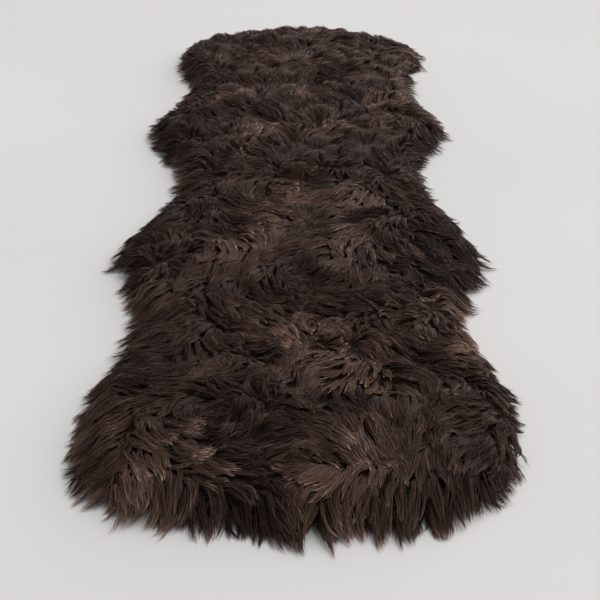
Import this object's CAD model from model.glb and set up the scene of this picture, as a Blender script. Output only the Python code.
"""A double sheepskin rug laid out flat, dressed with its hides, its wool and its seam.

Units are metres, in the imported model's own frame: the rug lies on z = 0, its length runs
along Y, and the two pelts meet along y = 0. Every strand of wool is a closed, tapering
mesh that follows a field of directions over the rug.
"""

import logging
import math
from collections.abc import Iterator
from dataclasses import dataclass, field
from enum import Enum
from typing import NamedTuple

import bmesh
import bpy
import numpy as np
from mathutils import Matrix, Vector, noise
from mathutils.bvhtree import BVHTree
from mathutils.geometry import delaunay_2d_cdt
from mathutils.kdtree import KDTree


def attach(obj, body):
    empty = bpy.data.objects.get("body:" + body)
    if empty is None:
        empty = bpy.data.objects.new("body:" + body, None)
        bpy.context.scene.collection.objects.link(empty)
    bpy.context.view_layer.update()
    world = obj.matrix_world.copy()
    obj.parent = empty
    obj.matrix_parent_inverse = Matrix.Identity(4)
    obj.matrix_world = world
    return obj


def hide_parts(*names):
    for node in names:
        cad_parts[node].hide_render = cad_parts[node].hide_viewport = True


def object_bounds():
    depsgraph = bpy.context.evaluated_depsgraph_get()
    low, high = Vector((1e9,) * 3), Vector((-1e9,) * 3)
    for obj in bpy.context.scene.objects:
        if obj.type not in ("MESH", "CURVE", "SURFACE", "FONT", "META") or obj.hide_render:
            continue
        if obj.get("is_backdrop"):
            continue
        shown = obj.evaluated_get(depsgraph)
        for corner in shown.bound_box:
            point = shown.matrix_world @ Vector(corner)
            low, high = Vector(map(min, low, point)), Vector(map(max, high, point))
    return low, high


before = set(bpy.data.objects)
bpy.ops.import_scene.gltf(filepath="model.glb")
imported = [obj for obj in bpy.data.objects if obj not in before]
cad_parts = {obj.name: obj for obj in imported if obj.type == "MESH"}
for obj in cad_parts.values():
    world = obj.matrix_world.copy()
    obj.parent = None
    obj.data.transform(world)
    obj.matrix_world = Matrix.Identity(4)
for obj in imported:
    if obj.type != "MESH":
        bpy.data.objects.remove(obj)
CAD_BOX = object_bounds()

logging.basicConfig(level=logging.INFO, format="%(message)s")
log = logging.getLogger("sheepskin_rug")

BODY = "root"
STRAND_MAP = "OFBake"
# The share of their spacing by which staggered points stray.
JITTER = 0.38
Colour = tuple[float, float, float]


class Landmark(NamedTuple):
    """A place on a hide's cut edge: how far from the seam, and how far to each side."""

    name: str
    along: float
    left: float
    right: float


FRONT_HIDE = (
    Landmark("seam", 0.000, 0.221, 0.226),
    Landmark("neck", 0.072, 0.230, 0.234),
    Landmark("shoulder", 0.165, 0.272, 0.279),
    Landmark("foreleg", 0.258, 0.309, 0.304),
    Landmark("behind foreleg", 0.354, 0.275, 0.267),
    Landmark("flank", 0.452, 0.243, 0.248),
    Landmark("thigh", 0.572, 0.262, 0.269),
    Landmark("hind leg", 0.703, 0.296, 0.301),
    Landmark("hind leg end", 0.801, 0.268, 0.262),
    Landmark("rump", 0.856, 0.184, 0.177),
    Landmark("beside tail", 0.866, 0.092, 0.087),
    Landmark("tail", 0.880, 0.000, 0.000),
)
REAR_HIDE = (
    Landmark("seam", 0.000, 0.226, 0.221),
    Landmark("neck", 0.077, 0.228, 0.237),
    Landmark("shoulder", 0.174, 0.268, 0.282),
    Landmark("foreleg", 0.267, 0.300, 0.308),
    Landmark("behind foreleg", 0.364, 0.271, 0.276),
    Landmark("flank", 0.466, 0.251, 0.242),
    Landmark("thigh", 0.582, 0.268, 0.260),
    Landmark("hind leg", 0.694, 0.290, 0.293),
    Landmark("hind leg end", 0.788, 0.254, 0.267),
    Landmark("rump", 0.846, 0.173, 0.181),
    Landmark("beside tail", 0.864, 0.086, 0.091),
    Landmark("tail", 0.881, 0.000, 0.000),
)


class Swirl(NamedTuple):
    """A place where the wool turns: its middle, its reach, and its turn and lean."""

    name: str
    x: float
    y: float
    reach: float
    turn: float
    away: float


SWIRLS = (
    Swirl("front left crown", -0.17, -0.70, 0.100, 0.8, 0.7),
    Swirl("front right crown", 0.16, -0.62, 0.080, -0.7, 0.6),
    Swirl("middle of the front pelt", -0.02, -0.44, 0.110, 0.9, -0.5),
    Swirl("front left shoulder", -0.20, -0.27, 0.080, -0.9, 0.3),
    Swirl("front right shoulder", 0.17, -0.20, 0.085, 0.9, 0.3),
    Swirl("over the seam", -0.03, 0.02, 0.075, 0.8, 0.4),
    Swirl("rear left shoulder", -0.15, 0.28, 0.090, 0.9, 0.3),
    Swirl("middle of the rear pelt", 0.05, 0.46, 0.095, -0.9, -0.4),
    Swirl("rear right crown", 0.17, 0.72, 0.085, 0.7, 0.6),
    Swirl("rear left crown", -0.14, 0.66, 0.090, -0.8, 0.5),
)


@dataclass(frozen=True)
class HideOutline:
    """The cut edge of one hide, as it lies on the floor.

    Args:
        landmarks: the places that the edge runs through, from the seam to the tail.
        seed: chooses how the edge wanders.
        facing: 1.0 for the pelt that lies along -Y, -1.0 for the one that lies along +Y.
        step: between the points of the edge.
        curve_steps: between two landmarks, before the points are evened out.
        wander: how far the edge strays in and out.
        wander_length: how long such a stray is.
        seam_gap: between the two hides, along the seam.
    """

    landmarks: tuple[Landmark, ...]
    seed: float
    facing: float
    step: float = 0.0175
    curve_steps: int = 12
    wander: float = 0.008
    wander_length: float = 0.080
    seam_gap: float = 0.0003

    def _smooth(self, points: list[Vector]) -> list[Vector]:
        """A smooth open line through some points.

        Args:
            points: that the line runs through.

        Returns:
            The points of the line, closer together.
        """
        ends = [2 * points[0] - points[1], *points, 2 * points[-1] - points[-2]]
        line = []
        for before, start, end, after in zip(ends, ends[1:], ends[2:], ends[3:]):
            for count in range(self.curve_steps):
                t = count / self.curve_steps
                straight = 2 * start + (end - before) * t
                square = (2 * before - 5 * start + 4 * end - after) * t**2
                cube = (3 * start - before - 3 * end + after) * t**3
                line.append((straight + square + cube) / 2)
        return [*line, points[-1]]

    def _evenly(self, line: list[Vector]) -> np.ndarray:
        """The same open line, with its points a step apart.

        Args:
            line: the points of the line.

        Returns:
            The new points, one (x, y) a row.
        """
        at = np.array([tuple(point) for point in line])
        along = np.concatenate([[0.0], np.cumsum(np.linalg.norm(np.diff(at, axis=0), axis=1))])
        stops = np.linspace(0.0, along[-1], round(along[-1] / self.step) + 1)
        return np.stack([np.interp(stops, along, at[:, axis]) for axis in (0, 1)], axis=1)

    def edge(self, inset: float = 0.0) -> np.ndarray:
        """The edge from one seam corner, round the tail, to the other seam corner.

        Args:
            inset: how far inside the cut edge the line runs, except along the seam.

        Returns:
            The points of the line, one (x, y) a row.
        """
        right = [Vector((mark.right, -mark.along)) for mark in self.landmarks]
        left = [Vector((-mark.left, -mark.along)) for mark in reversed(self.landmarks[:-1])]
        edge = self._evenly(self._smooth(right + left))
        run = edge[2:] - edge[:-2]
        way = np.stack([-run[:, 1], run[:, 0]], axis=1) / np.linalg.norm(run, axis=1)[:, None]
        for point, out in zip(edge[1:-1], way):
            sway = noise.noise(Vector((*point, self.seed)) / self.wander_length)
            point += out * (self.wander * sway - inset)
        edge[0, 0] -= inset
        edge[-1, 0] += inset
        edge[:, 1] -= self.seam_gap / 2
        return edge * self.facing


@dataclass(frozen=True)
class Field:
    """Values on a grid over the rug, which can be read at any place.

    Args:
        low: the grid's first corner.
        cell: the size of its cells.
        values: at its points, along x and then along y.
    """

    low: np.ndarray
    cell: float
    values: np.ndarray

    def at(self, points: np.ndarray) -> np.ndarray:
        """The field's values at some points.

        Args:
            points: an array whose last axis starts with x and y.

        Returns:
            The value at each point.
        """
        last = np.array(self.values.shape) - 1.001
        place = np.clip((points[..., :2] - self.low) / self.cell, 0.0, last)
        whole = place.astype(int)
        a, b = np.moveaxis(place - whole, -1, 0)
        i, j = np.moveaxis(whole, -1, 0)
        near = self.values[i, j] * (1 - a) + self.values[i + 1, j] * a
        far = self.values[i, j + 1] * (1 - a) + self.values[i + 1, j + 1] * a
        return near * (1 - b) + far * b


@dataclass
class Fleece:
    """The room that the wool fills: from the rug's edge in, and from undercoat to top.

    Args:
        outlines: the cut edges of the two hides.
        cell: of the grid that everything is measured on.
        margin: how far the grid reaches past the hides.
        rim_overhang: how far the fleece stands out past the cut edge.
        rim_height: how high it is there.
        rim_slope: how steeply it comes down from there.
        lowest_top: its least height.
        tuft_spacing: between the middles of the tufts.
        tuft_hollow: by which share the wool is lower a spacing away from such a middle.
        tuft_margin: how far past the cut edge tufts still have their middles.
        tuft_seed: sets where the tufts are.
        undercoat_share: how high the undercoat reaches, as a share of the top.
        undercoat_shoulder: how far in from the edge it is that high.
        edge_parts: how many points stand for each step of the edge.
        smoothings: how many times the top is smoothed.
    """

    outlines: tuple[HideOutline, ...]
    cell: float = 0.005
    margin: float = 0.080
    rim_overhang: float = 0.012
    rim_height: float = 0.019
    rim_slope: float = 0.50
    lowest_top: float = 0.004
    tuft_spacing: float = 0.042
    tuft_hollow: float = 0.62
    tuft_margin: float = 0.020
    tuft_seed: int = 17
    undercoat_share: float = 0.81
    undercoat_shoulder: float = 0.034
    edge_parts: int = 4
    smoothings: int = 3

    depth: Field = field(init=False)
    tuft_places: np.ndarray = field(init=False)
    tufts: KDTree = field(init=False)
    top: Field = field(init=False)
    undercoat: Field = field(init=False)

    def __post_init__(self) -> None:
        """Measures the fleece on a grid."""
        outline = np.concatenate([shape.edge() for shape in self.outlines])
        low = outline.min(axis=0) - self.margin
        count = np.ceil((outline.max(axis=0) + self.margin - low) / self.cell).astype(int) + 1
        xs, ys = (low[axis] + self.cell * np.arange(count[axis]) for axis in (0, 1))
        grid = np.stack(np.meshgrid(xs, ys, indexing="ij"), axis=-1)
        depth = self._depth(grid, outline)
        self.depth = Field(low, self.cell, depth)
        self._set_tufts()
        top = blurred(self._top(grid, depth) * self._relief(grid), self.smoothings)
        share = np.clip(depth / self.undercoat_shoulder, 0.0, 1.0)
        rounding = np.sqrt(1.0 - (1.0 - share) ** 2)
        self.top = Field(low, self.cell, top)
        self.undercoat = Field(low, self.cell, self.undercoat_share * top * rounding)

    def _depth(self, grid: np.ndarray, outline: np.ndarray) -> np.ndarray:
        """How far inside the rug's edge each point of the grid lies.

        Args:
            grid: the points, (columns, rows, 2).
            outline: the closed line round both hides, one (x, y) a row.

        Returns:
            The distances, (columns, rows), below zero outside the edge.
        """
        ends = np.roll(outline, -1, axis=0)
        parts = self.edge_parts
        tree = KDTree(parts * len(outline))
        for number, (start, end) in enumerate(zip(outline, ends)):
            for part in range(parts):
                place = start + (end - start) * part / parts
                tree.insert((*place, 0.0), parts * number + part)
        tree.balance()
        crossings = np.zeros(grid.shape[:2], dtype=int)
        x, y = grid[..., 0], grid[..., 1]
        for start, end in zip(outline, ends):
            between = (start[1] > y) != (end[1] > y)
            rise = end[1] - start[1]
            if rise:
                crossings += between & (x < start[0] + (y - start[1]) * (end[0] - start[0]) / rise)
        flat = grid.reshape(-1, 2)
        away = np.array([tree.find((*point, 0.0))[2] for point in flat]).reshape(x.shape)
        return np.where(crossings % 2 == 1, away, -away)

    def _set_tufts(self) -> None:
        """Sets out the middles of the tufts that the wool gathers in."""
        rng = np.random.default_rng(self.tuft_seed)
        self.tuft_places = staggered(self.depth, self.tuft_spacing, -self.tuft_margin, rng)
        self.tufts = KDTree(len(self.tuft_places))
        for number, place in enumerate(self.tuft_places):
            self.tufts.insert((*place, 0.0), number)
        self.tufts.balance()

    def _relief(self, grid: np.ndarray) -> np.ndarray:
        """How high the wool stands in its tufts and in the hollows between them.

        Args:
            grid: the points to read, (columns, rows, 2).

        Returns:
            The height at each of them, as a share of the fleece's.
        """
        flat = grid.reshape(-1, 2)
        away = np.array([self.tufts.find((*point, 0.0))[2] for point in flat])
        return 1.0 - self.tuft_hollow * (away.reshape(grid.shape[:2]) / self.tuft_spacing) ** 2

    def _top(self, grid: np.ndarray, depth: np.ndarray) -> np.ndarray:
        """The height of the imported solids, and of the locks that stand out round them.

        Args:
            grid: the points to read, (columns, rows, 2).
            depth: how far inside the rug's edge each of them lies.

        Returns:
            The height at each of them.
        """
        past_rim = -depth - self.rim_overhang
        top = np.maximum(self.rim_height - self.rim_slope * past_rim, self.lowest_top)
        graph = bpy.context.evaluated_depsgraph_get()
        solids = [BVHTree.FromObject(node, graph) for node in fleece_nodes()]
        down, above = Vector((0.0, 0.0, -1.0)), 1.0
        for place in zip(*np.nonzero(past_rim < 0.0)):
            start = Vector((*grid[place], above))
            hits = [solid.ray_cast(start, down)[0] for solid in solids]
            heights = [hit.z for hit in hits if hit]
            if heights:
                top[place] = max(heights)
        return top


def staggered(
    depth: Field, spacing: float, least_depth: float, rng: np.random.Generator
) -> np.ndarray:
    """Jittered points over the rug.

    Args:
        depth: how far inside the rug's edge each place lies.
        spacing: between the points.
        least_depth: how far inside the edge the points start.
        rng: sets the jitter.

    Returns:
        The points, one (x, y) a row.
    """
    low = depth.low
    row_step = spacing * math.sqrt(3) / 2
    columns, rows = (-2 * low / (spacing, row_step)).astype(int) + 1
    column, row = np.meshgrid(np.arange(columns), np.arange(rows), indexing="ij")
    x = low[0] + (column + 0.5 * (row % 2)) * spacing
    y = low[1] + row * row_step
    points = np.stack([x.ravel(), y.ravel()], axis=1)
    points += rng.uniform(-JITTER, JITTER, points.shape) * spacing
    return points[depth.at(points) > least_depth]


def blurred(values: np.ndarray, times: int) -> np.ndarray:
    """The same grid with its steps smoothed out.

    Args:
        values: the grid.
        times: how many times over it is smoothed.

    Returns:
        The smoothed grid.
    """
    for _ in range(times):
        wide = np.pad(values, 1, mode="edge")
        values = (wide[:-2, 1:-1] + wide[2:, 1:-1] + 2 * wide[1:-1, 1:-1]) / 4
        wide = np.pad(values, 1, mode="edge")
        values = (wide[1:-1, :-2] + wide[1:-1, 2:] + 2 * wide[1:-1, 1:-1]) / 4
    return values


def corners_of(
    item: bmesh.types.BMVert | bmesh.types.BMEdge | bmesh.types.BMFace,
) -> list[tuple[float, ...]]:
    """Where the corners of a vertex, an edge or a face lie, in order."""
    return sorted(corner.co[:] for corner in getattr(item, "verts", (item,)))


def put_in_order(bm: bmesh.types.BMesh) -> None:
    """Orders the parts of a mesh by place, because extruding orders them anew each run.

    Args:
        bm: the mesh.
    """
    for items in (bm.verts, bm.edges, bm.faces):
        for number, item in enumerate(sorted(items, key=corners_of)):
            item.index = number
        items.sort()


def fleece_nodes() -> list[bpy.types.Object]:
    """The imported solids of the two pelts."""
    return [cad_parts[name] for name in ("front_pelt", "rear_pelt")]


@dataclass
class WoolFlow:
    """The direction in which the wool lies at each place.

    It lies from the neck to the tail of each pelt, turns outward at the rim, and is
    combed into broad sweeps and swirls in between.

    Args:
        fleece: that the wool grows in.
        tailward: how strongly the wool lies towards the tails.
        seam_spread: how far from the seam it takes for that to set in.
        outward: how strongly it turns outward at the rim.
        outward_width: how far in from the edge that reaches.
        rim_calm: by which share the sweeps and ripples fade at the rim.
        sweep: the strength of the broad sweeps.
        sweep_size: how long they are.
        sweep_seed: sets where they are.
        ripple: the strength of the smaller ripples.
        ripple_size: how long they are.
        ripple_seed: sets where they are.
        second_seed: what is added to a seed for the second direction.
        full_strength: the strength of flow that lays the wool all the way down.
    """

    fleece: Fleece
    tailward: float = 0.55
    seam_spread: float = 0.10
    outward: float = 0.75
    outward_width: float = 0.048
    rim_calm: float = 0.55
    sweep: float = 1.9
    sweep_size: float = 0.170
    sweep_seed: float = 4.0
    ripple: float = 0.90
    ripple_size: float = 0.065
    ripple_seed: float = 9.0
    second_seed: float = 20.0
    full_strength: float = 0.55

    along_x: Field = field(init=False)
    along_y: Field = field(init=False)
    strength: Field = field(init=False)

    def __post_init__(self) -> None:
        """Works out the directions on the fleece's grid."""
        depth = self.fleece.depth
        shape = depth.values.shape
        xs = depth.low[0] + depth.cell * np.arange(shape[0])
        ys = depth.low[1] + depth.cell * np.arange(shape[1])
        x, y = np.meshgrid(xs, ys, indexing="ij")
        slope_x, slope_y = np.gradient(depth.values, depth.cell)
        inside = np.maximum(depth.values, 0.0)
        near_rim = self.outward * np.exp(-((inside / self.outward_width) ** 2))
        flow_x = -slope_x * near_rim
        flow_y = -slope_y * near_rim + self.tailward * np.tanh(y / self.seam_spread)
        inner = 1.0 - self.rim_calm * near_rim / self.outward
        for strength, size, seed in (
            (self.sweep, self.sweep_size, self.sweep_seed),
            (self.ripple, self.ripple_size, self.ripple_seed),
        ):
            flow_x += strength * inner * self._noise(x, y, size, seed)
            flow_y += strength * inner * self._noise(x, y, size, seed + self.second_seed)
        for swirl in SWIRLS:
            off_x, off_y = x - swirl.x, y - swirl.y
            pull = np.exp(-(off_x**2 + off_y**2) / swirl.reach**2) / swirl.reach
            flow_x += pull * (-swirl.turn * off_y + swirl.away * off_x)
            flow_y += pull * (swirl.turn * off_x + swirl.away * off_y)
        size = np.maximum(np.hypot(flow_x, flow_y), 1e-6)
        self.along_x = Field(depth.low, depth.cell, flow_x / size)
        self.along_y = Field(depth.low, depth.cell, flow_y / size)
        self.strength = Field(depth.low, depth.cell, np.minimum(size / self.full_strength, 1.0))

    def _noise(self, x: np.ndarray, y: np.ndarray, size: float, seed: float) -> np.ndarray:
        """Smooth noise of one size over the grid."""
        pairs = zip((x / size).ravel(), (y / size).ravel())
        return np.array([noise.noise((a, b, seed)) for a, b in pairs]).reshape(x.shape)

    def at(self, points: np.ndarray) -> np.ndarray:
        """The unit direction of the wool at points, whose last axis is (x, y)."""
        return unit(np.stack([self.along_x.at(points), self.along_y.at(points)], axis=-1))


def unit(vectors: np.ndarray) -> np.ndarray:
    """The vectors along the last axis, each made one long."""
    return vectors / np.maximum(np.linalg.norm(vectors, axis=-1, keepdims=True), 1e-9)


def turned(vectors: np.ndarray, angle: np.ndarray) -> np.ndarray:
    """Plane vectors, each turned by an angle.

    Args:
        vectors: an array whose last axis is (x, y).
        angle: how far each one turns, in radians.

    Returns:
        The turned vectors.
    """
    cosine, sine = np.cos(angle), np.sin(angle)
    x, y = vectors[..., 0], vectors[..., 1]
    return np.stack([x * cosine - y * sine, x * sine + y * cosine], axis=-1)


class Lay(Enum):
    """How a lock of wool grows."""

    COAT = "coat"
    FILL = "fill"
    RIM = "rim"


class Bundle(NamedTuple):
    """Like strands of one lock.

    Args:
        count: of the strands.
        half_width: of a strand at its widest.
        spread: how wide the strands' roots lie apart.
        gather: the share of that width by which they draw together at the tip.
        reach: the least and greatest share of the lock's length that they have.
        lift: how far above the lock's own level they rise.
        roll: in radians, how far they turn about their own length.
    """

    count: int
    half_width: float
    spread: float
    gather: float
    reach: tuple[float, float]
    lift: float
    roll: float


@dataclass(frozen=True)
class LockKind:
    """The sizes of one kind of lock.

    Args:
        fibres: the flat bundles of fibre that make up the lock.
        wisps: the fine loose strands round them.
        length: of a lock, from root to tip.
        length_change: by which share that length varies.
        heading_spread: in radians, how far locks turn away from their tuft.
        tuft_spread: in radians, how far tufts turn away from the flow.
        curl: in radians, how far a lock bends away from its tuft over its length.
        tuft_curl: in radians, how far a tuft bends sideways over its length.
        levels: the lowest and highest share of the room over the undercoat it rises to.
        droop: by how much of that room the tip comes down again.
        pull: how far the tip leans to that of the tuft it stands in.
    """

    fibres: Bundle
    wisps: Bundle
    length: float
    length_change: float
    heading_spread: float
    tuft_spread: float
    curl: float
    tuft_curl: float
    levels: tuple[float, float]
    droop: float
    pull: float


LOCK_KINDS = {
    Lay.COAT: LockKind(
        fibres=Bundle(1, 0.0043, 0.0030, 0.00, (0.86, 0.95), 0.00, 0.3),
        wisps=Bundle(5, 0.00055, 0.0130, 0.15, (0.78, 1.02), 0.22, 3.1),
        length=0.056,
        length_change=0.25,
        heading_spread=0.12,
        tuft_spread=0.25,
        curl=0.28,
        tuft_curl=1.05,
        levels=(0.84, 1.04),
        droop=0.10,
        pull=0.45,
    ),
    Lay.FILL: LockKind(
        fibres=Bundle(1, 0.0026, 0.0030, 0.00, (0.86, 0.95), 0.00, 0.5),
        wisps=Bundle(2, 0.00060, 0.0100, 0.40, (0.78, 1.00), 0.12, 3.1),
        length=0.040,
        length_change=0.25,
        heading_spread=0.45,
        tuft_spread=0.30,
        curl=0.60,
        tuft_curl=0.90,
        levels=(0.45, 0.85),
        droop=0.30,
        pull=0.0,
    ),
    Lay.RIM: LockKind(
        fibres=Bundle(1, 0.0021, 0.0030, 0.00, (0.70, 0.86), 0.00, 0.6),
        wisps=Bundle(6, 0.00048, 0.0110, 0.30, (0.70, 1.02), 0.05, 3.1),
        length=0.038,
        length_change=0.35,
        heading_spread=0.42,
        tuft_spread=0.60,
        curl=0.60,
        tuft_curl=1.20,
        levels=(0.10, 0.95),
        droop=0.35,
        pull=0.25,
    ),
}


@dataclass
class StrandShape:
    """A strand pointed at both ends, shaped once and then laid along every path.

    Args:
        sides: of its cross-section.
        shares: the places of its rings and its two ends, from root to tip.
        profile: how wide it is at each of them.
        flatness: how thick it is, as a share of its width.
        tone_width: the share of the map's width that goes round it.
    """

    sides: int
    shares: tuple[float, ...]
    profile: tuple[float, ...]
    flatness: float
    tone_width: float

    step: np.ndarray = field(init=False)
    section: np.ndarray = field(init=False)
    corners: np.ndarray = field(init=False)
    starts: np.ndarray = field(init=False)
    corner_map: np.ndarray = field(init=False)
    crisp: np.ndarray = field(init=False)

    def __post_init__(self) -> None:
        """Shapes the strand with operators, and reads off its points, faces and edges."""
        last = len(self.shares) - 1
        bm = bmesh.new()
        bmesh.ops.create_cone(
            bm, cap_ends=True, segments=self.sides, radius1=1.0, radius2=1.0, depth=last - 2
        )
        bmesh.ops.translate(bm, verts=bm.verts, vec=(0.0, 0.0, last / 2))
        for cut in range(2, last - 1):
            everything = [*bm.verts, *bm.edges, *bm.faces]
            bmesh.ops.bisect_plane(bm, geom=everything, plane_co=(0, 0, cut), plane_no=(0, 0, 1))
        for cap in [face for face in bm.faces if abs(face.normal.z) > 0.5]:
            beyond = 0.0 if cap.normal.z < 0 else float(last)
            bmesh.ops.poke(bm, faces=[cap])["verts"][0].co.z = beyond
        bmesh.ops.recalc_face_normals(bm, faces=bm.faces)
        bm.verts.index_update()
        points = np.array([tuple(vert.co) for vert in bm.verts])
        self.step = np.rint(points[:, 2]).astype(int)
        self.section = points[:, :2] * (1.0, self.flatness)
        folds = [joint for joint in bm.edges if self._folds(joint)]
        ends = [sorted(vert.index for vert in joint.verts) for joint in folds]
        self.crisp = np.array([low * len(points) + high for low, high in ends], dtype=int)
        corners, starts, spots = [], [], []
        for face in bm.faces:
            starts.append(len(corners))
            around = {
                vert: math.atan2(vert.co.y, vert.co.x) / math.tau % 1.0
                for vert in face.verts
                if vert.co.xy.length > 0.5
            }
            if max(around.values()) - min(around.values()) > 0.5:
                around = {vert: turn + (turn < 0.5) for vert, turn in around.items()}
            middle = sum(around.values()) / len(around)
            for vert in face.verts:
                corners.append(vert.index)
                share = self.shares[round(vert.co.z)]
                spots.append((around.get(vert, middle) / 2 * self.tone_width, share))
        bm.free()
        self.corners, self.starts, self.corner_map = map(np.array, (corners, starts, spots))

    def _folds(self, joint: bmesh.types.BMEdge) -> bool:
        """Whether an edge parts the upper side of a flat strand from its underside."""
        one, other = (face.normal.y for face in joint.link_faces)
        return self.flatness < 1.0 and one * other < 0.0

    def laid(
        self, name: str, paths: np.ndarray, radii: np.ndarray, tones: np.ndarray, roll: np.ndarray
    ) -> bpy.types.Mesh:
        """One mesh of strands.

        Args:
            name: of the mesh.
            paths: the points of each strand's middle line, (strands, points, 3).
            radii: the largest radius of each strand.
            tones: how pale each strand is, from 0 to 1.
            roll: how far each strand is turned about its middle line.

        Returns:
            The mesh, with the strands' own map of tone and height on it.
        """
        count, points, corners = len(paths), len(self.step), len(self.corners)
        way = unit(np.gradient(paths, axis=1))
        run = paths[:, -1, :2] - paths[:, 0, :2]
        side = unit(np.stack([-run[:, 1], run[:, 0], np.zeros(count)], axis=-1))
        up = unit(np.cross(way, side[:, None, :]))
        side = np.cross(up, way)
        section = turned(np.repeat(self.section[None], count, axis=0), roll[:, None])
        section *= (radii[:, None] * np.array(self.profile)[self.step])[..., None]
        places = paths[:, self.step]
        places = places + section[..., :1] * side[:, self.step] + section[..., 1:] * up[:, self.step]

        mesh = bpy.data.meshes.new(name)
        mesh.vertices.add(count * points)
        mesh.vertices.foreach_set("co", places.ravel())
        mesh.loops.add(count * corners)
        numbers = self.corners[None] + points * np.arange(count)[:, None]
        mesh.loops.foreach_set("vertex_index", numbers.ravel().astype(np.int32))
        mesh.polygons.add(count * len(self.starts))
        starts = self.starts[None] + corners * np.arange(count)[:, None]
        mesh.polygons.foreach_set("loop_start", starts.ravel().astype(np.int32))
        mesh.update(calc_edges=True)
        ends = np.empty(2 * len(mesh.edges), dtype=np.int32)
        mesh.edges.foreach_get("vertices", ends)
        low, high = np.sort(ends.reshape(-1, 2) % points, axis=1).T
        spots = np.repeat(self.corner_map[None], count, axis=0)
        spots[..., 0] += tones[:, None] * (1.0 - self.tone_width)
        mesh.uv_layers.new(name=STRAND_MAP).data.foreach_set("uv", spots.ravel())
        mesh.shade_smooth()
        mesh.edges.foreach_set("use_edge_sharp", np.isin(low * points + high, self.crisp))
        return mesh


class Strand(Enum):
    """The two kinds of strand that a lock is made of."""

    FIBRES = "locks"
    WISP = "wisps"


STRAND_SHAPES = {
    Strand.FIBRES: StrandShape(
        sides=3,
        shares=(0.0, 0.20, 0.42, 0.63, 0.83, 1.0),
        profile=(0.0, 0.85, 1.0, 0.78, 0.40, 0.0),
        flatness=0.20,
        tone_width=0.120,
    ),
    Strand.WISP: StrandShape(
        sides=3,
        shares=(0.0, 0.42, 0.76, 1.0),
        profile=(0.0, 1.0, 0.80, 0.0),
        flatness=1.0,
        tone_width=0.016,
    ),
}


class Clouds(NamedTuple):
    """Smooth changes from tuft to tuft: how strong and how broad they are, and which."""

    strength: float
    size: float
    seed: float


@dataclass(frozen=True)
class LockTones:
    """How pale a lock is, from 0 for the darkest wool to 1 for the palest.

    Args:
        usual: the tone of an ordinary lock.
        by_tuft: how much paler a lock in a pale tuft is.
        by_chance: how far locks, and strands in a lock, stray from their tone.
        by_level: how much paler a lock is that stands high.
        usual_level: the level of an ordinary lock.
        by_edge: how much darker a lock is towards the edge of its tuft.
        usual_edge: the square of how far out in its tuft an ordinary lock stands.
    """

    usual: float = 0.26
    by_tuft: float = 0.14
    by_chance: float = 0.035
    by_level: float = 0.20
    usual_level: float = 0.90
    by_edge: float = 0.30
    usual_edge: float = 0.12


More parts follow.
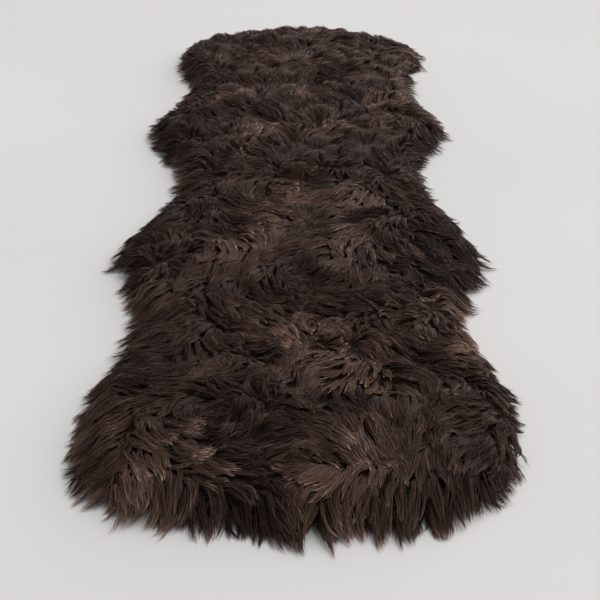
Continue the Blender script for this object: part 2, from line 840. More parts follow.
@dataclass
class WoolMaker:
    """Grows locks of wool over the rug, and sets out their strands.

    Args:
        fleece: the room that the wool fills.
        flow: the direction in which it lies.
        spacing: between the roots of coat locks.
        least_depth: how far inside the edge those start.
        fill_spacing: between the roots of the shorter locks that fill thin places.
        fill_depth: how far inside the edge those start.
        thin_cover: the share of the usual cover below which a place is filled.
        hidden_points: how many points at the root of a lock cover nothing.
        cover_blur: how many times the measured cover is smoothed.
        inner_depth: how far inside the edge the usual cover is measured.
        rim_spacing: between the roots of rim locks along a row.
        rim_rows: how far inside the cut edge the rows run.
        rim_jitter: by which share of their spacing those roots stray.
        steps: that a lock's middle line has.
        follow: how much of its direction a lock takes from the flow at each step.
        bend_share: how much of its curl a lock has by its tip.
        tuft_length: the length of a tuft, as a share of a lock's.
        upright: by which share locks look shorter where the wool stands up.
        highest: how far along it a lock is at its highest.
        root_depth: how deep in the undercoat the roots are.
        ceiling: how high no strand goes.
        floor: how low no strand goes.
        wave: how far the tip of a strand waves from side to side.
        wave_count: how many waves a strand has.
        wave_change: in radians, how far the waves of one lock are out of step.
        level_change: how far the levels of one lock's strands differ.
        gather_curve: how late along a lock its strands draw together.
        widths: the least and greatest width of a strand, as shares of its kind's.
        tone_clouds: the smooth changes of tone over the rug.
        tone_change: how far tufts differ in tone by chance.
        swing_clouds: the smooth changes of curl over the rug.
        swing_change: how far tufts differ in curl by chance.
        lock_tones: how pale the locks are.
        seed: sets everything that is left to chance.
    """

    fleece: Fleece
    flow: WoolFlow
    spacing: float = 0.0115
    least_depth: float = 0.004
    fill_spacing: float = 0.0080
    fill_depth: float = 0.012
    thin_cover: float = 0.50
    hidden_points: int = 2
    cover_blur: int = 2
    inner_depth: float = 0.020
    rim_spacing: float = 0.0064
    rim_rows: tuple[float, ...] = (0.002, 0.007, 0.013)
    rim_jitter: float = 0.4
    steps: int = 10
    follow: float = 0.2
    bend_share: float = 1.6
    tuft_length: float = 0.92
    upright: float = 0.55
    highest: float = 0.70
    root_depth: float = 0.0030
    ceiling: float = 0.0690
    floor: float = 0.0013
    wave: float = 0.0018
    wave_count: float = 1.15
    wave_change: float = 0.5
    level_change: float = 0.07
    gather_curve: float = 1.2
    widths: tuple[float, float] = (0.70, 1.25)
    tone_clouds: Clouds = Clouds(4.5, 0.150, 6.0)
    tone_change: float = 1.0
    swing_clouds: Clouds = Clouds(2.2, 0.070, 2.0)
    swing_change: float = 0.35
    lock_tones: LockTones = LockTones()
    seed: int = 21

    rng: np.random.Generator = field(init=False)
    tuft_tones: np.ndarray = field(init=False)
    tuft_swings: np.ndarray = field(init=False)
    cover: Field = field(init=False)

    def __post_init__(self) -> None:
        """Gives each tuft its tone and its turn."""
        self.rng = np.random.default_rng(self.seed)
        count = len(self.fleece.tuft_places)
        tones = self.rng.normal(0, self.tone_change, count)
        self.tuft_tones = tones + self._over_tufts(self.tone_clouds)
        swings = self.rng.normal(0, self.swing_change, count)
        self.tuft_swings = swings + self._over_tufts(self.swing_clouds)

    def _over_tufts(self, clouds: Clouds) -> np.ndarray:
        """Clouds read at the middle of each tuft."""
        places = self.fleece.tuft_places / clouds.size
        return clouds.strength * np.array([noise.noise((x, y, clouds.seed)) for x, y in places])

    def _rim_roots(self) -> np.ndarray:
        """Roots in rows along the cut edges.

        Returns:
            The roots, one (x, y) a row.
        """
        rows = []
        for outline in self.fleece.outlines:
            for inset in self.rim_rows:
                edge = outline.edge(inset)
                lengths = np.linalg.norm(np.diff(edge, axis=0), axis=1)
                along = np.concatenate([[0.0], np.cumsum(lengths)])
                stops = np.arange(0.0, along[-1], self.rim_spacing)
                stray = self.rng.uniform(-self.rim_jitter, self.rim_jitter, len(stops))
                stops = stops + stray * self.rim_spacing
                line = [np.interp(stops, along, edge[:, axis]) for axis in (0, 1)]
                rows.append(np.stack(line, axis=1))
        return np.concatenate(rows)

    def _roots(self, lay: Lay) -> np.ndarray:
        """Where the locks of one kind grow.

        Args:
            lay: the kind of lock.

        Returns:
            The roots, one (x, y) a row.
        """
        if lay is Lay.RIM:
            return self._rim_roots()
        if lay is Lay.FILL:
            places = staggered(self.fleece.depth, self.fill_spacing, self.fill_depth, self.rng)
            return places[self.cover.at(places) < self.thin_cover]
        return staggered(self.fleece.depth, self.spacing, self.least_depth, self.rng)

    def _note_cover(self, lines: np.ndarray) -> None:
        """Measures how well locks hide the undercoat, as a share of the usual cover.

        Args:
            lines: the plan of each lock's middle line, (locks, points, 2).
        """
        top = self.fleece.top
        shown = lines[:, self.hidden_points :].reshape(-1, 2)
        cells = np.rint((shown - top.low) / top.cell).astype(int)
        size = np.array(top.values.shape)
        cells = cells[np.all((cells >= 0) & (cells < size), axis=1)]
        count = np.zeros(top.values.shape)
        np.add.at(count, tuple(cells.T), 1.0)
        count = blurred(count, self.cover_blur)
        usual = np.median(count[self.fleece.depth.values > self.inner_depth])
        self.cover = Field(top.low, top.cell, count / usual)

    def _lines(
        self, starts: np.ndarray, length: np.ndarray, turn: np.ndarray, curl: np.ndarray
    ) -> np.ndarray:
        """The plan of middle lines that follow the flow of the wool.

        Args:
            starts: where each line begins.
            length: of each line.
            turn: how far each one starts turned away from the flow.
            curl: how far each one bends away from it over its length, most at its tip.

        Returns:
            The points of each line, (lines, points, 2).
        """
        heading = turned(self.flow.at(starts), turn)
        length = length * (1.0 - self.upright * (1.0 - self.flow.strength.at(starts)))
        line = [starts]
        for step in range(self.steps):
            place = line[-1] + heading * (length / self.steps)[:, None]
            line.append(place)
            bend = curl / self.steps * self.bend_share * 2 * (step + 0.5) / self.steps
            way = (1.0 - self.follow) * heading + self.follow * self.flow.at(place)
            heading = turned(unit(way), bend)
        return np.stack(line, axis=1)

    def _middle_lines(self, roots: np.ndarray, tuft: np.ndarray, kind: LockKind) -> np.ndarray:
        """The plan of each lock's middle line, drawn towards the tip of its tuft.

        Args:
            roots: where the locks grow.
            tuft: the number of the tuft that each one stands in.
            kind: the sizes of the locks.

        Returns:
            The points of each line, (locks, points, 2).
        """
        count, tufts = len(roots), len(self.fleece.tuft_places)
        tuft_turn = self.rng.normal(0, kind.tuft_spread, tufts)
        tuft_curl = kind.tuft_curl * self.tuft_swings
        tuft_length = np.full(tufts, kind.length * self.tuft_length)
        tips = self._lines(self.fleece.tuft_places, tuft_length, tuft_turn, tuft_curl)[:, -1]
        length = kind.length * (1 + self.rng.uniform(-1, 1, count) * kind.length_change)
        turn = tuft_turn[tuft] + self.rng.normal(0, kind.heading_spread, count)
        curl = tuft_curl[tuft] + self.rng.normal(0, kind.curl, count)
        lines = self._lines(roots, length, turn, curl)
        share = kind.pull * np.linspace(0.0, 1.0, self.steps + 1) ** 2
        return lines + (tips[tuft] - lines[:, -1])[:, None] * share[None, :, None]

    def grow(self, lay: Lay) -> dict[Strand, dict[str, np.ndarray]]:
        """Grows every lock of one kind.

        Args:
            lay: the kind of lock.

        Returns:
            The "paths", "radii", "tones" and "roll" of each kind of strand.
        """
        kind = LOCK_KINDS[lay]
        roots = self._roots(lay)
        locks = len(roots)
        near = [self.fleece.tufts.find((*root, 0.0)) for root in roots]
        tuft = np.array([number for _, number, _ in near])
        astray = np.array([away for *_, away in near]) / self.fleece.tuft_spacing
        lines = self._middle_lines(roots, tuft, kind)
        if lay is Lay.COAT:
            self._note_cover(lines)
        level = self.rng.uniform(*kind.levels, locks)
        tones = self.lock_tones
        tone = tones.usual + tones.by_tuft * self.tuft_tones[tuft]
        tone += tones.by_chance * self.rng.normal(0, 1, locks)
        tone += tones.by_level * (level - tones.usual_level)
        tone -= tones.by_edge * (astray**2 - tones.usual_edge)
        wave_start = self.rng.uniform(0, math.tau, locks)
        log.info("%s: %d locks", lay.value, locks)
        return {
            strand: self._strands(strand, bundle, kind.droop, lines, level, tone, wave_start)
            for strand, bundle in ((Strand.FIBRES, kind.fibres), (Strand.WISP, kind.wisps))
        }

    def _strands(
        self,
        strand: Strand,
        bundle: Bundle,
        droop: float,
        lines: np.ndarray,
        level: np.ndarray,
        tone: np.ndarray,
        wave_start: np.ndarray,
    ) -> dict[str, np.ndarray]:
        """The strands of one kind in many locks.

        Args:
            strand: the kind.
            bundle: how they lie in each lock.
            droop: how far the tips come down.
            lines: the plan of each lock's middle line.
            level: how high each lock rises.
            tone: how pale each lock is.
            wave_start: where the waves of each lock begin.

        Returns:
            The "paths", "radii", "tones" and "roll" of the strands.
        """
        which = np.repeat(np.arange(len(lines)), bundle.count)
        count = len(which)
        share = np.array(STRAND_SHAPES[strand].shares)
        stretch = self.rng.uniform(*bundle.reach, count)
        place = np.minimum(share[None] * stretch[:, None] * self.steps, self.steps - 1e-6)
        whole = place.astype(int)
        part = (place - whole)[..., None]
        plan = lines[which[:, None], whole] * (1 - part) + lines[which[:, None], whole + 1] * part

        run = unit(plan[:, -1] - plan[:, 0])
        across = np.stack([-run[:, 1], run[:, 0]], axis=1)
        angle = self.rng.uniform(0, math.tau, count)
        radius = bundle.spread / 2 * np.sqrt(self.rng.uniform(0, 1, count))
        offset = np.stack([np.cos(angle), np.sin(angle)], axis=1) * radius[:, None]
        gathered = 1.0 - bundle.gather * share**self.gather_curve
        plan = plan + offset[:, None] * gathered[None, :, None]
        phase = wave_start[which] + self.rng.normal(0, self.wave_change, count)
        turn = math.tau * self.wave_count * share[None] + phase[:, None]
        plan = plan + across[:, None] * (self.wave * share * np.sin(turn))[..., None]

        tops = level[which] + bundle.lift + self.rng.normal(0, self.level_change, count)
        rise = np.sin(np.minimum(share / self.highest, 1.0) * math.pi / 2)
        fall = droop * np.maximum(share - self.highest, 0.0) / (1.0 - self.highest)
        lift = tops[:, None] * (rise - fall)[None]
        under, over = self.fleece.undercoat.at(plan), self.fleece.top.at(plan)
        height = under + lift * (over - under)
        height[:, 0] -= self.root_depth
        height = np.clip(height, self.floor + bundle.half_width / 2, self.ceiling)
        tones = tone[which] + self.lock_tones.by_chance * self.rng.normal(0, 1, count)
        return {
            "paths": np.concatenate([plan, height[..., None]], axis=-1),
            "radii": bundle.half_width * self.rng.uniform(*self.widths, count),
            "tones": np.clip(tones, 0.0, 1.0),
            "roll": self.rng.uniform(-bundle.roll, bundle.roll, count),
        }


@dataclass(frozen=True)
class WoolFinish:
    """Long dark brown wool, darker at its roots than at its tips.

    Args:
        name: of the material.
        root: the colour at the root of a strand.
        middle: the colour half way up.
        upper: the colour of the last third.
        tip: the colour of the very tip.
        heights: where along a strand these four colours are.
        warmth: the tint of the darkest wool.
        paleness: the tint of the palest wool.
        tint_tones: the tones at which these two tints are reached.
        darkest: how bright the darkest wool is, as a factor on its colours.
        palest: how bright the palest wool is.
        rarity: how much rarer pale wool is than dark wool.
        streak_scale: how many streaks there are over the strands' map, across and along.
        streak_detail: how finely the streaks are divided.
        streak_roughness: how strong the finest of them are.
        streak_range: the range of the noise that they are read from.
        streak_shades: how bright the darkest and the palest streaks are.
        bump: the strength of the streaks' relief.
        bump_height: its height.
        roughness: of the strands.
        sheen: the strength of the soft shine along the edges.
        sheen_roughness: how broad that shine is.
        sheen_tint: its colour.
        specular: the strength of the plain shine.
        specular_tint: its colour.
    """

    name: str = "brown_wool"
    root: Colour = (0.0190, 0.0100, 0.0083)
    middle: Colour = (0.0235, 0.0128, 0.0106)
    upper: Colour = (0.0400, 0.0232, 0.0190)
    tip: Colour = (0.2250, 0.1570, 0.1250)
    heights: tuple[float, ...] = (0.0, 0.40, 0.74, 1.0)
    warmth: Colour = (1.0, 0.79, 0.83)
    paleness: Colour = (1.0, 0.99, 0.935)
    tint_tones: tuple[float, float] = (0.15, 0.60)
    darkest: float = 0.24
    palest: float = 4.80
    rarity: float = 1.7
    streak_scale: tuple[float, float, float] = (180.0, 2.0, 1.0)
    streak_detail: float = 4.0
    streak_roughness: float = 0.65
    streak_range: tuple[float, float] = (0.36, 0.64)
    streak_shades: tuple[float, float] = (0.62, 1.38)
    bump: float = 0.7
    bump_height: float = 0.0008
    roughness: float = 0.48
    sheen: float = 0.21
    sheen_roughness: float = 0.40
    sheen_tint: Colour = (1.0, 0.74, 0.62)
    specular: float = 0.12
    specular_tint: Colour = (1.0, 0.68, 0.56)

    def material(self) -> bpy.types.Material:
        """The material, which reads only the strands' own map.

        Returns:
            The finished material.
        """
        paint = Paint(self.name)
        spot = paint.node("ShaderNodeUVMap", uv_map=STRAND_MAP)
        parts = paint.node("ShaderNodeSeparateXYZ", Vector=spot.outputs["UV"])
        colours = (self.root, self.middle, self.upper, self.tip)
        ramp = paint.ramp(parts.outputs["Y"], list(zip(self.heights, colours)))
        tints = zip(self.tint_tones, (self.warmth, self.paleness))
        tint = paint.ramp(parts.outputs["X"], list(tints))
        drawn_out = paint.node("ShaderNodeMapping", Vector=spot.outputs["UV"])
        drawn_out.inputs["Scale"].default_value = self.streak_scale
        place = drawn_out.outputs["Vector"]
        streak = paint.noise(place, 1.0, self.streak_detail, self.streak_roughness)
        rarely_pale = paint.math("POWER", parts.outputs["X"], self.rarity)
        tone = paint.ranged(rarely_pale, (0.0, 1.0), (self.darkest, self.palest))
        fine = paint.ranged(streak, self.streak_range, self.streak_shades)
        shade = paint.math("MULTIPLY", tone, fine)
        colour = paint.scaled(paint.tinted(ramp, tint), shade)
        bump = paint.bump(streak, self.bump, self.bump_height)
        return paint.finished(
            colour,
            bump,
            Roughness=self.roughness,
            **{
                "Sheen Weight": self.sheen,
                "Sheen Roughness": self.sheen_roughness,
                "Sheen Tint": (*self.sheen_tint, 1.0),
                "Specular IOR Level": self.specular,
                "Specular Tint": (*self.specular_tint, 1.0),
            },
        )


@dataclass(frozen=True)
class UndercoatFinish:
    """The dense short wool at the roots, dark brown between the locks."""

    name: str = "wool_undercoat"
    deep: Colour = (0.0130, 0.0075, 0.0058)
    pale: Colour = (0.0380, 0.0232, 0.0184)
    shade_range: tuple[float, float] = (0.12, 0.45)
    fibre_size: float = 0.004
    tuft_size: float = 0.030
    bump: float = 0.9
    bump_height: float = 0.003
    roughness: float = 0.85
    specular: float = 0.08

    def material(self) -> bpy.types.Material:
        """The material, on the piece's own coordinates.

        Returns:
            The finished material.
        """
        paint = Paint(self.name)
        place = paint.place()
        fine = paint.noise(place, 1 / self.fibre_size, 4.0)
        broad = paint.noise(place, 1 / self.tuft_size, 2.0)
        both = paint.math("MULTIPLY", fine, broad)
        colour = paint.ramp(both, list(zip(self.shade_range, (self.deep, self.pale))))
        return paint.finished(
            colour,
            paint.bump(fine, self.bump, self.bump_height),
            **{"Roughness": self.roughness, "Specular IOR Level": self.specular},
        )


@dataclass(frozen=True)
class SuedeFinish:
    """The tanned flesh side of a hide: matt brown suede with a short nap."""

    name: str = "brown_suede"
    low: Colour = (0.115, 0.068, 0.044)
    high: Colour = (0.190, 0.122, 0.084)
    shade_range: tuple[float, float] = (0.45, 0.95)
    cloud_size: float = 0.090
    nap_size: float = 0.0012
    nap_share: float = 0.35
    bump: float = 0.5
    bump_height: float = 0.0006
    roughness: float = 0.86
    sheen: float = 0.40

    def material(self) -> bpy.types.Material:
        """The material, on the piece's own coordinates.

        Returns:
            The finished material.
        """
        paint = Paint(self.name)
        place = paint.place()
        clouds = paint.noise(place, 1 / self.cloud_size, 5.0)
        nap = paint.noise(place, 1 / self.nap_size, 3.0)
        mixed = paint.math("ADD", clouds, paint.math("MULTIPLY", nap, self.nap_share))
        colour = paint.ramp(mixed, list(zip(self.shade_range, (self.low, self.high))))
        return paint.finished(
            colour,
            paint.bump(nap, self.bump, self.bump_height),
            Roughness=self.roughness,
            **{"Sheen Weight": self.sheen},
        )


@dataclass(frozen=True)
class ThreadFinish:
    """Waxed brown thread with a fine twist."""

    name: str = "seam_thread"
    low: Colour = (0.050, 0.030, 0.020)
    high: Colour = (0.110, 0.070, 0.048)
    shade_range: tuple[float, float] = (0.35, 0.65)
    twist_size: float = 0.0009
    bump: float = 0.6
    bump_height: float = 0.0003
    roughness: float = 0.6

    def material(self) -> bpy.types.Material:
        """The material, on the piece's own coordinates.

        Returns:
            The finished material.
        """
        paint = Paint(self.name)
        twist = paint.noise(paint.place(), 1 / self.twist_size, 1.0)
        colour = paint.ramp(twist, list(zip(self.shade_range, (self.low, self.high))))
        bump = paint.bump(twist, self.bump, self.bump_height)
        return paint.finished(colour, bump, Roughness=self.roughness)


@dataclass(frozen=True)
class FloorFinish:
    """A plain pale floor with the faintest unevenness."""

    name: str = "pale_floor"
    low: Colour = (0.600, 0.595, 0.592)
    high: Colour = (0.630, 0.625, 0.622)
    shade_range: tuple[float, float] = (0.3, 0.7)
    clouds_a_metre: float = 1.3
    roughness: float = 0.8

    def material(self) -> bpy.types.Material:
        """The material, on the floor's own coordinates.

        Returns:
            The finished material.
        """
        paint = Paint(self.name)
        clouds = paint.noise(paint.place(), self.clouds_a_metre, 2.0)
        colour = paint.ramp(clouds, list(zip(self.shade_range, (self.low, self.high))))
        return paint.finished(colour, None, Roughness=self.roughness)


class Paint:
    """A material under construction: its nodes, and the links between them."""

    def __init__(self, name: str) -> None:
        """Starts a material that holds only its shader and output.

        Args:
            name: of the material.
        """
        self.material = bpy.data.materials.new(name)
        self.material.use_nodes = True
        self.tree = self.material.node_tree
        self.shader = self.tree.nodes["Principled BSDF"]

    def node(self, kind: str, **values: object) -> bpy.types.Node:
        """Adds a node.

        Args:
            kind: of the node.
            values: its settings by name, and for its inputs the sockets they are linked from.

        Returns:
            The new node.
        """
        made = self.tree.nodes.new(kind)
        for name, value in values.items():
            if isinstance(value, bpy.types.NodeSocket):
                self.tree.links.new(value, made.inputs[name])
            else:
                setattr(made, name, value)
        return made

    def place(self) -> bpy.types.NodeSocket:
        """The piece's own coordinates, in metres."""
        return self.node("ShaderNodeTexCoord").outputs["Object"]

    def noise(
        self, place: bpy.types.NodeSocket, scale: float, detail: float, roughness: float = 0.5
    ) -> bpy.types.NodeSocket:
        """Noise on the given coordinates.

        Args:
            place: the coordinates.
            scale: how many clouds of noise there are to a unit of them.
            detail: how finely the clouds are divided.
            roughness: how strong the finest of these divisions are.

        Returns:
            The noise, from 0 to 1.
        """
        made = self.node("ShaderNodeTexNoise", Vector=place)
        made.inputs["Scale"].default_value = scale
        made.inputs["Detail"].default_value = detail
        made.inputs["Roughness"].default_value = roughness
        return made.outputs["Fac"]

    def ramp(
        self, factor: bpy.types.NodeSocket, stops: list[tuple[float, Colour]]
    ) -> bpy.types.NodeSocket:
        """Colours at places along a factor, blended in between.

        Args:
            factor: what the colour is chosen by.
            stops: the place and the colour of each stop.

        Returns:
            The colour.
        """
        made = self.node("ShaderNodeValToRGB", Fac=factor)
        elements = made.color_ramp.elements
        while len(elements) < len(stops):
            elements.new(0.5)
        for element, (position, colour) in zip(elements, stops):
            element.position = position
            element.color = (*colour, 1.0)
        return made.outputs["Color"]

    def math(self, operation: str, *values: bpy.types.NodeSocket | float) -> bpy.types.NodeSocket:
        """One step of arithmetic.

        Args:
            operation: what is done.
            values: the sockets or numbers it is done to.

        Returns:
            The result.
        """
        made = self.node("ShaderNodeMath", operation=operation)
        for number, value in enumerate(values):
            if isinstance(value, bpy.types.NodeSocket):
                self.tree.links.new(value, made.inputs[number])
            else:
                made.inputs[number].default_value = value
        return made.outputs["Value"]

    def ranged(
        self, value: bpy.types.NodeSocket, old: tuple[float, float], new: tuple[float, float]
    ) -> bpy.types.NodeSocket:
        """A value carried over from one range to another.

        Args:
            value: to carry over.
            old: the ends of the range that it comes from.
            new: the ends of the range that it goes to.

        Returns:
            The value in the new range.
        """
        made = self.node("ShaderNodeMapRange", Value=value)
        names = ("From Min", "From Max", "To Min", "To Max")
        for name, number in zip(names, (*old, *new)):
            made.inputs[name].default_value = number
        return made.outputs["Result"]

    def scaled(
        self, colour: bpy.types.NodeSocket, factor: bpy.types.NodeSocket
    ) -> bpy.types.NodeSocket:
        """A colour made paler or darker by a factor."""
        made = self.node("ShaderNodeVectorMath", operation="SCALE", Vector=colour, Scale=factor)
        return made.outputs["Vector"]

    def tinted(
        self, colour: bpy.types.NodeSocket, tint: bpy.types.NodeSocket
    ) -> bpy.types.NodeSocket:
        """A colour multiplied by a tint.

        Args:
            colour: to be tinted.
            tint: white where the colour stays as it is.

        Returns:
            The tinted colour.
        """
        made = self.node("ShaderNodeVectorMath", operation="MULTIPLY", Vector=colour)
        self.tree.links.new(tint, made.inputs[1])
        return made.outputs["Vector"]

    def bump(
        self, height: bpy.types.NodeSocket, strength: float, distance: float
    ) -> bpy.types.NodeSocket:
        """A relief that only bends the light.

        Args:
            height: how high the relief is at each place, from 0 to 1.
            strength: how much of it shows.
            distance: the height that 1 stands for, in metres.

        Returns:
            The bent normal.
        """
        made = self.node("ShaderNodeBump", Height=height)
        made.inputs["Strength"].default_value = strength
        made.inputs["Distance"].default_value = distance
        return made.outputs["Normal"]

    def finished(
        self,
        colour: bpy.types.NodeSocket,
        normal: bpy.types.NodeSocket | None,
        **settings: float | tuple[float, ...],
    ) -> bpy.types.Material:
        """Links the colour and the bump to the shader, and sets its plain values.

        Args:
            colour: of the surface.
            normal: the bent normal, if there is one.
            settings: values of the shader by the names of its sockets.

        Returns:
            The finished material.
        """
        self.tree.links.new(colour, self.shader.inputs["Base Color"])
        if normal:
            self.tree.links.new(normal, self.shader.inputs["Normal"])
        for name, value in settings.items():
            self.shader.inputs[name].default_value = value
        return self.material


def add_piece(
    name: str, mesh: bpy.types.Mesh, material: bpy.types.Material
) -> bpy.types.Object:
    """Links a mesh to the scene as a piece that rides on the rug.

    Args:
        name: of the piece.
        mesh: its mesh, in the rug's frame.
        material: its finish.

    Returns:
        The new object.
    """
    mesh.materials.clear()
    mesh.materials.append(material)
    piece = bpy.data.objects.new(name, mesh)
    bpy.context.scene.collection.objects.link(piece)
    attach(piece, BODY)
    mesh.calc_loop_triangles()
    log.info("%s: %d triangles", name, len(mesh.loop_triangles))
    return piece


def mesh_of(bm: bmesh.types.BMesh, name: str, smooth: bool = True) -> bpy.types.Mesh:
    """The finished mesh of a bmesh, which is freed.

    Args:
        bm: the bmesh.
        name: of the mesh.
        smooth: whether its faces are shaded as one surface.

    Returns:
        The mesh.
    """
    mesh = bpy.data.meshes.new(name)
    bm.to_mesh(mesh)
    bm.free()
    if smooth:
        mesh.shade_smooth()
    return mesh


@dataclass
class Hide:
    """The thin suede hide under a pelt's wool.

    Args:
        name: of the piece.
        outline: its cut edge.
        underside: how high above the floor it lies, on its stitches.
        thickness: of the hide.
        edge_round: how far its edges are rounded.
        corner_angle: in radians, the turn between two faces that makes an edge sharp.
        level_within: how far apart in height the ends of a level edge may be.
    """

    name: str
    outline: HideOutline
    underside: float = 0.0007
    thickness: float = 0.0024
    edge_round: float = 0.0008
    corner_angle: float = 1.2
    level_within: float = 1e-5

    def area(self) -> float:
        """The hide's flat area in square metres."""
        x, y = self.outline.edge().T
        return abs(np.dot(x, np.roll(y, 1)) - np.dot(y, np.roll(x, 1))) / 2

    def flat(self) -> tuple[float, float]:
        """The width and length that the hide is cut to."""
        width, length = np.ptp(self.outline.edge(), axis=0)
        return float(width), float(length)

    def build(self) -> bpy.types.Object:
        """Makes the hide as one closed, flat solid.

        Returns:
            The new piece.
        """
        bm = bmesh.new()
        rim = [bm.verts.new((*point, self.underside)) for point in self.outline.edge()]
        sheet = bm.faces.new(rim)
        sheet.normal_update()
        if sheet.normal.z > 0:
            sheet.normal_flip()
        raised = bmesh.ops.extrude_face_region(bm, geom=[sheet], use_keep_orig=True)["geom"]
        above = [item for item in raised if isinstance(item, bmesh.types.BMVert)]
        bmesh.ops.translate(bm, verts=above, vec=(0.0, 0.0, self.thickness))
        bmesh.ops.recalc_face_normals(bm, faces=bm.faces)
        sharp = [joint for joint in bm.edges if joint.calc_face_angle(0.0) > self.corner_angle]
        level = [joint for joint in sharp if self._is_level(joint)]
        bmesh.ops.bevel(
            bm,
            geom=level,
            offset=self.edge_round,
            segments=2,
            profile=0.5,
            affect="EDGES",
            material=-1,
        )
        mesh = mesh_of(bm, self.name, smooth=False)
        return add_piece(self.name, mesh, SuedeFinish().material())

    def _is_level(self, joint: bmesh.types.BMEdge) -> bool:
        """Whether an edge runs level."""
        return abs(joint.verts[0].co.z - joint.verts[1].co.z) < self.level_within


@dataclass
class Undercoat:
    """The dense wool over a hide, from which the locks grow.

    Args:
        name: of the piece.
        outline: the hide's cut edge.
        fleece: the room that the wool fills.
        inset: how far inside the cut edge it starts.
        base: how high above the floor its underside is.
        spacing: between the points of its lumpy top.
        lump_size: how long its lumps are.
        lump_height: how high they are.
        usual_lump: the share of that height at which the undercoat's level lies.
        settled: the share of its full height that it has under its lumps.
        least_height: of its top over its underside.
    """

    name: str
    outline: HideOutline
    fleece: Fleece
    inset: float = 0.003
    base: float = 0.0028
    spacing: float = 0.0115
    lump_size: float = 0.022
    lump_height: float = 0.0050
    usual_lump: float = 0.4
    settled: float = 0.96
    least_height: float = 0.001

    def _height(self, x: float, y: float) -> float:
        """The height of the undercoat at a place.

        Args:
            x: of the place.
            y: of the place.

        Returns:
            The height over the floor.
        """
        level = float(self.fleece.undercoat.at(np.array([x, y])))
        lump = abs(noise.noise(Vector((x, y, 3.0)) / self.lump_size))
        height = level * self.settled + self.lump_height * (lump - self.usual_lump)
        return max(height, self.base + self.least_height)

    def build(self) -> bpy.types.Object:
        """Makes the undercoat as one closed, lumpy solid.

        Returns:
            The new piece.
        """
        rim = [Vector(point) for point in self.outline.edge(self.inset)]
        corner, end = rim[0], rim[-1]
        count = round((corner - end).length / self.spacing)
        seam = [end.lerp(corner, step / count) for step in range(1, count)]
        loop = rim + seam
        grid = self._grid(loop)
        rim_numbers = list(range(len(loop)))
        flat, _, triangles, *_ = delaunay_2d_cdt(loop + grid, [], [rim_numbers], 1, 1e-6)
        bm = bmesh.new()
        top = [bm.verts.new((point.x, point.y, self._height(*point))) for point in flat]
        for corners in triangles:
            bm.faces.new([top[number] for number in corners])
        free = [joint for joint in bm.edges if joint.is_boundary]
        walls = bmesh.ops.extrude_edge_only(bm, edges=free)["geom"]
        for item in walls:
            if isinstance(item, bmesh.types.BMVert):
                item.co.z = self.base
        bmesh.ops.edgeloop_fill(bm, edges=[joint for joint in bm.edges if joint.is_boundary])
        bmesh.ops.recalc_face_normals(bm, faces=bm.faces)
        put_in_order(bm)
        return add_piece(self.name, mesh_of(bm, self.name), UndercoatFinish().material())

    def _grid(self, loop: list[Vector]) -> list[Vector]:
        """Staggered points over this pelt, clear of its edge.

        Args:
            loop: the points of the edge.

        Returns:
            The points inside it.
        """
        low = Vector((min(p.x for p in loop), min(p.y for p in loop)))
        high = Vector((max(p.x for p in loop), max(p.y for p in loop)))
        row_step = self.spacing * math.sqrt(3) / 2
        found = []
        for row in range(1, int((high.y - low.y) / row_step)):
            y = low.y + row * row_step
            for column in range(int((high.x - low.x) / self.spacing) + 1):
                x = low.x + (column + 0.5 * (row % 2)) * self.spacing
                depth = self.fleece.depth.at(np.array([x, y]))
                if depth > self.inset + self.spacing / 2:
                    found.append(Vector((x, y)))
        return found


@dataclass
class SeamStitching:
    """The overcast stitches that join the two hides, on their underside.

    Args:
        name: of the piece.
        width: of the seam, from end to end of a stitch.
        pitch: between the stitches.
        thread: half of the thread's thickness.
        height: how high the thread's middle lies over the floor.
        sides: of the thread's cross-section.
        margin: how far inside the seam's ends the stitches stop.
    """

    name: str = "seam_stitches"
    width: float = 0.0090
    pitch: float = 0.0045
    thread: float = 0.00033
    height: float = 0.00042
    sides: int = 5
    margin: float = 0.006

    def build(self, left: float, right: float) -> bpy.types.Object:
        """Makes the stitches between two places along the seam.

        Args:
            left: the x at which the stitches begin.
            right: the x at which they end.

        Returns:
            The new piece.
        """
        bm = bmesh.new()
        count = int((right - left - 2 * self.margin) / self.pitch)
        half = self.width / 2
        for number in range(count):
            x = left + self.margin + number * self.pitch
            for end in (self.pitch / 2, -self.pitch / 2):
                start = Vector((x, -half, self.height))
                finish = Vector((x + end, half, self.height))
                self._stitch(bm, start, finish)
        bmesh.ops.recalc_face_normals(bm, faces=bm.faces)
        return add_piece(self.name, mesh_of(bm, self.name), ThreadFinish().material())

    def _stitch(self, bm: bmesh.types.BMesh, start: Vector, end: Vector) -> None:
        """Adds one straight stitch.

        Args:
            bm: what it is added to.
            start: one end of the stitch.
            end: its other end.
        """
        run = end - start
        made = bmesh.ops.create_cone(
            bm,
            cap_ends=True,
            segments=self.sides,
            radius1=self.thread,
            radius2=self.thread,
            depth=run.length,
        )["verts"]
        turn = Vector((0.0, 0.0, 1.0)).rotation_difference(run).to_matrix()
        bmesh.ops.rotate(bm, verts=made, matrix=turn)
        bmesh.ops.translate(bm, verts=made, vec=(start + end) / 2)


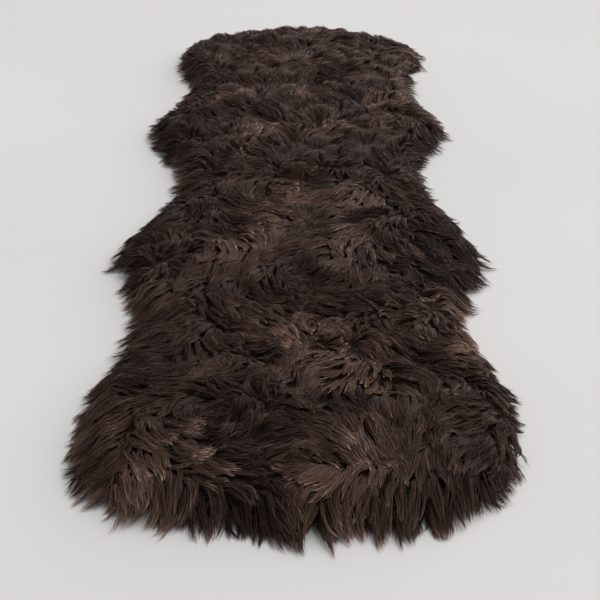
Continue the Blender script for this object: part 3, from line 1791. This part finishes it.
@dataclass
class Rug:
    """The whole rug: two pelts, each with its hide, undercoat and wool, and their seam."""

    front: HideOutline = HideOutline(FRONT_HIDE, 3.0, 1.0)
    rear: HideOutline = HideOutline(REAR_HIDE, 8.0, -1.0)
    seam_reach: float = 0.216
    most_triangles: int = 190_000

    def build(self) -> None:
        """Builds every piece and says what each one is."""
        fleece = Fleece((self.front, self.rear))
        maker = WoolMaker(fleece, WoolFlow(fleece))
        wool = self._wool(maker)
        seam = SeamStitching().build(-self.seam_reach, self.seam_reach)
        for pelt, outline in (("front", self.front), ("rear", self.rear)):
            hide = Hide(f"{pelt}_hide", outline)
            sheet = hide.build()
            undercoat = Undercoat(f"{pelt}_undercoat", outline, fleece).build()
            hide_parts(f"{pelt}_pelt")
            others = [undercoat, *wool[pelt], *([seam] if pelt == "front" else [])]
            hide.flat()
            hide.area()

    def _wool(self, maker: WoolMaker) -> dict[str, list[bpy.types.Object]]:
        """Grows the wool and shares it out between pieces.

        Args:
            maker: what grows it.

        Returns:
            The pieces of each pelt.
        """
        finish = WoolFinish().material()
        grown = {lay: maker.grow(lay) for lay in Lay}
        pieces: dict[str, list[bpy.types.Object]] = {"front": [], "rear": []}
        for title, lays in (("coat", (Lay.COAT, Lay.FILL)), ("rim", (Lay.RIM,))):
            for strand in Strand:
                parts = [grown[lay][strand] for lay in lays]
                joined = {key: np.concatenate([part[key] for part in parts]) for key in parts[0]}
                for pelt, made in self._pieces(f"{title}_{strand.value}", strand, joined):
                    pieces[pelt].append(add_piece(made.name, made, finish))
        return pieces

    def _pieces(
        self, title: str, strand: Strand, strands: dict[str, np.ndarray]
    ) -> Iterator[tuple[str, bpy.types.Mesh]]:
        """Shares strands out between the pelts, in meshes of a handy size.

        Args:
            title: the middle of the pieces' names.
            strand: the kind of strand.
            strands: their "paths", "radii", "tones" and "roll".

        Yields:
            The name of the pelt, and a mesh of some of its strands.
        """
        shape = STRAND_SHAPES[strand]
        most = self.most_triangles // (2 * shape.sides * (len(shape.shares) - 2))
        roots = strands["paths"][:, 0]
        for pelt, here in (("front", roots[:, 1] < 0), ("rear", roots[:, 1] >= 0)):
            chosen = np.nonzero(here)[0]
            chosen = chosen[np.argsort(roots[chosen, 0], kind="stable")]
            count = math.ceil(len(chosen) / most)
            for number, part in enumerate(np.array_split(chosen, count), start=1):
                picked = {key: values[part] for key, values in strands.items()}
                yield pelt, shape.laid(f"{pelt}_{title}_{number}", **picked)


@dataclass(frozen=True)
class Lamp:
    """Soft light from one side, the same all over the floor.

    Args:
        name: of the light.
        place: where it shines from, towards the rug's middle.
        spread: in degrees, how wide it is.
        strength: of the light.
        colour: of the light.
    """

    name: str
    place: tuple[float, float, float]
    spread: float
    strength: float
    colour: Colour

    def build(self) -> None:
        """Adds the light to the scene, aimed at the rug's middle."""
        data = bpy.data.lights.new(self.name, "SUN")
        data.angle = math.radians(self.spread)
        data.energy = self.strength
        data.color = self.colour
        light = bpy.data.objects.new(self.name, data)
        light.location = self.place
        light.rotation_euler = (-Vector(self.place)).to_track_quat("-Z", "Y").to_euler()
        bpy.context.scene.collection.objects.link(light)


@dataclass
class Studio:
    """The floor, the light and the camera.

    Args:
        floor_size: the length of each side of the floor.
        elevation: in degrees, how steeply the camera looks down.
        distance: of the camera from what it looks at.
        aim: the place that it looks at.
        lens: its focal length in millimetres.
        horizon: the colour of the surround down at the horizon.
        overhead: its colour overhead.
        heights: how high up these two colours are reached.
        lamps: the lights.
    """

    floor_size: float = 80.0
    elevation: float = 35.5
    distance: float = 1.59
    aim: tuple[float, float, float] = (0.0, -0.38, 0.0)
    lens: float = 56.0
    horizon: Colour = (0.70, 0.70, 0.70)
    overhead: Colour = (0.36, 0.365, 0.37)
    heights: tuple[float, float] = (0.05, 0.60)
    lamps: tuple[Lamp, ...] = (
        Lamp("key", (2.2, 1.5, 2.2), 75.0, 3.65, (1.0, 0.97, 0.94)),
    )

    def build(self) -> None:
        """Sets up everything around the rug."""
        bm = bmesh.new()
        bmesh.ops.create_grid(bm, x_segments=2, y_segments=2, size=self.floor_size / 2)
        mesh = mesh_of(bm, "floor", smooth=False)
        mesh.materials.append(FloorFinish().material())
        floor = bpy.data.objects.new("floor", mesh)
        bpy.context.scene.collection.objects.link(floor)
        floor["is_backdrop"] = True
        self._world()
        for lamp in self.lamps:
            lamp.build()
        self._camera()

    def _world(self) -> None:
        """A plain surround, palest at the horizon."""
        world = bpy.data.worlds.new("studio")
        world.use_nodes = True
        tree = world.node_tree
        direction = tree.nodes.new("ShaderNodeTexCoord")
        parts = tree.nodes.new("ShaderNodeSeparateXYZ")
        ramp = tree.nodes.new("ShaderNodeValToRGB")
        tree.links.new(direction.outputs["Generated"], parts.inputs["Vector"])
        tree.links.new(parts.outputs["Z"], ramp.inputs["Fac"])
        tree.links.new(ramp.outputs["Color"], tree.nodes["Background"].inputs["Color"])
        colours = (self.horizon, self.overhead)
        for element, height, colour in zip(ramp.color_ramp.elements, self.heights, colours):
            element.position = height
            element.color = (*colour, 1.0)
        bpy.context.scene.world = world
        bpy.context.scene.view_settings.view_transform = "Standard"

    def _camera(self) -> None:
        """A camera above the front end of the rug, looking along it."""
        data = bpy.data.cameras.new("camera")
        data.lens = self.lens
        camera = bpy.data.objects.new("camera", data)
        rise = math.radians(self.elevation)
        aim = Vector(self.aim)
        camera.location = aim + Vector((0.0, -math.cos(rise), math.sin(rise))) * self.distance
        camera.rotation_euler = (aim - camera.location).to_track_quat("-Z", "Y").to_euler()
        bpy.context.scene.collection.objects.link(camera)
        bpy.context.scene.camera = camera


def save_sizes() -> None:
    """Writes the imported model's box and the dressed rug's box."""
    boxes = {"cad": CAD_BOX, "visual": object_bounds()}
    {name: [list(map(float, corner)) for corner in box] for name, box in boxes.items()}


def main() -> None:
    """Builds the studio and the rug."""
    Studio().build()
    Rug().build()
    save_sizes()


if __name__ == "__main__":
    main()
